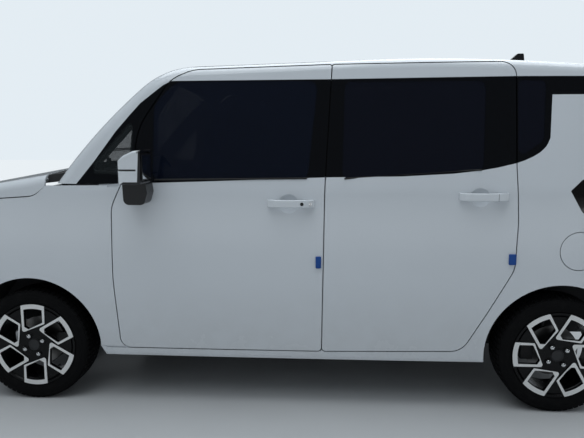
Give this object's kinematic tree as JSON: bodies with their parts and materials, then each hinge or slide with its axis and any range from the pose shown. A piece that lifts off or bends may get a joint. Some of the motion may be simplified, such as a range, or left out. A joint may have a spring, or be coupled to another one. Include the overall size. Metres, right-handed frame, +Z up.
{
  "type": "kei car",
  "caption": "Boxy tall five-door kei car, white with a black window band, black wheels with bright window outlines, opening doors, bonnet and tailgate.",
  "frame": {"origin": "on the ground below the middle of the overall length and width", "axes": "-X is forward, -Y is the car's left side, +Z is up"},
  "size_m": [3.5942, 1.98, 1.7559],
  "materials": {
    "body_paint": "gloss white paint",
    "dark_glass": "dark tinted",
    "clear_glass": "lightly tinted",
    "black_plastic": "grained black",
    "seat_fabric": "woven dark grey",
    "tyre_rubber": "black rubber",
    "wheel_black": "gloss black with turned edges",
    "lamp_red": "red lens",
    "lamp_clear": "clear lens over silver",
    "under_metal": "satin underbody coat",
    "cast_metal": "as cast",
    "bare_steel": "dull steel"
  },
  "bodies": {
    "body": {"aerial": "black_plastic", "cowl": "black_plastic", "dashboard": "black_plastic", "engine_block": "cast_metal", "exhaust": "bare_steel", "floor_pan": "under_metal", "front_bumper": "body_paint", "front_grilles": "black_plastic", "front_seat_left": "seat_fabric", "front_seat_right": "seat_fabric", "front_struts": "under_metal", "front_subframe": "under_metal", "front_wings": "body_paint", "fuel_tank": "black_plastic", "head_lamps": "lamp_clear", "quarter_windows": "dark_glass", "rear_axle": "under_metal", "rear_bumper": "body_paint", "rear_seat": "seat_fabric", "roof_panel": "body_paint", "seat_bases": "black_plastic", "side_frame_left": "body_paint", "side_frame_right": "body_paint", "tail_lamps": "lamp_red", "windscreen": "clear_glass"},
    "knuckle_front_left_body": {"knuckle_front_left": "cast_metal"},
    "wheel_front_left": {"tyre_front_left": "tyre_rubber", "rim_front_left": "wheel_black"},
    "wheel_rear_left": {"tyre_rear_left": "tyre_rubber", "rim_rear_left": "wheel_black"},
    "front_door_left": {"door_front_left": "body_paint", "door_glass_front_left": "clear_glass", "handle_front_left": "body_paint", "mirror_left": "black_plastic"},
    "rear_door_left": {"door_rear_left": "body_paint", "door_glass_rear_left": "dark_glass", "handle_rear_left": "body_paint"},
    "knuckle_front_right_body": {"knuckle_front_right": "cast_metal"},
    "wheel_front_right": {"tyre_front_right": "tyre_rubber", "rim_front_right": "wheel_black"},
    "wheel_rear_right": {"tyre_rear_right": "tyre_rubber", "rim_rear_right": "wheel_black"},
    "front_door_right": {"door_front_right": "body_paint", "door_glass_front_right": "clear_glass", "handle_front_right": "body_paint", "mirror_right": "black_plastic"},
    "rear_door_right": {"door_rear_right": "body_paint", "door_glass_rear_right": "dark_glass", "handle_rear_right": "body_paint"},
    "bonnet_body": {"bonnet": "body_paint"},
    "tailgate_body": {"tailgate": "body_paint", "tailgate_glass": "dark_glass"},
    "fuel_flap_body": {"fuel_flap": "body_paint"},
    "steering": {"steering_wheel": "black_plastic"}
  },
  "joints": [
    {"name": "steer_left", "type": "hinge", "parent": "body", "child": "knuckle_front_left_body", "pos_m": [-1.1075, -0.632, 0.28], "axis": [0, 0, 1], "range_deg": [-34, 34]},
    {"name": "spin_front_left", "type": "hinge", "parent": "knuckle_front_left_body", "child": "wheel_front_left", "pos_m": [-1.1075, -0.695, 0.278], "axis": [0, 1, 0], "continuous": true},
    {"name": "spin_rear_left", "type": "hinge", "parent": "body", "child": "wheel_rear_left", "pos_m": [1.4125, -0.695, 0.278], "axis": [0, 1, 0], "continuous": true},
    {"name": "front_door_left_hinge", "type": "hinge", "parent": "body", "child": "front_door_left", "pos_m": [-0.623, -0.768, 0.65], "axis": [0, 0, -1], "range_deg": [0, 65]},
    {"name": "rear_door_left_hinge", "type": "hinge", "parent": "body", "child": "rear_door_left", "pos_m": [0.375, -0.773, 0.65], "axis": [0, 0, -1], "range_deg": [0, 65]},
    {"name": "steer_right", "type": "hinge", "parent": "body", "child": "knuckle_front_right_body", "pos_m": [-1.1075, 0.632, 0.28], "axis": [0, 0, 1], "range_deg": [-34, 34]},
    {"name": "spin_front_right", "type": "hinge", "parent": "knuckle_front_right_body", "child": "wheel_front_right", "pos_m": [-1.1075, 0.695, 0.278], "axis": [0, 1, 0], "continuous": true},
    {"name": "spin_rear_right", "type": "hinge", "parent": "body", "child": "wheel_rear_right", "pos_m": [1.4125, 0.695, 0.278], "axis": [0, 1, 0], "continuous": true},
    {"name": "front_door_right_hinge", "type": "hinge", "parent": "body", "child": "front_door_right", "pos_m": [-0.623, 0.768, 0.65], "axis": [0, 0, 1], "range_deg": [0, 65]},
    {"name": "rear_door_right_hinge", "type": "hinge", "parent": "body", "child": "rear_door_right", "pos_m": [0.375, 0.773, 0.65], "axis": [0, 0, 1], "range_deg": [0, 65]},
    {"name": "bonnet_hinge", "type": "hinge", "parent": "body", "child": "bonnet_body", "pos_m": [-1.016, 0, 1.118], "axis": [0, 1, 0], "range_deg": [0, 50]},
    {"name": "tailgate_hinge", "type": "hinge", "parent": "body", "child": "tailgate_body", "pos_m": [1.489, 0, 1.655], "axis": [0, -1, 0], "range_deg": [0, 85]},
    {"name": "fuel_flap_hinge", "type": "hinge", "parent": "body", "child": "fuel_flap_body", "pos_m": [1.378, -0.7754, 0.776], "axis": [0, 0, -1], "range_deg": [0, 90]},
    {"name": "steering_turn", "type": "hinge", "parent": "body", "child": "steering", "pos_m": [-0.3, 0.32, 1.01], "axis": [0.9063, 0, 0.4226], "range_deg": [-476, 476]}
  ],
  "couplings": [
    {"joint": "steer_right", "follows": "steer_left", "ratio": 1},
    {"joint": "steering_turn", "follows": "steer_left", "ratio": 14}
  ]
}
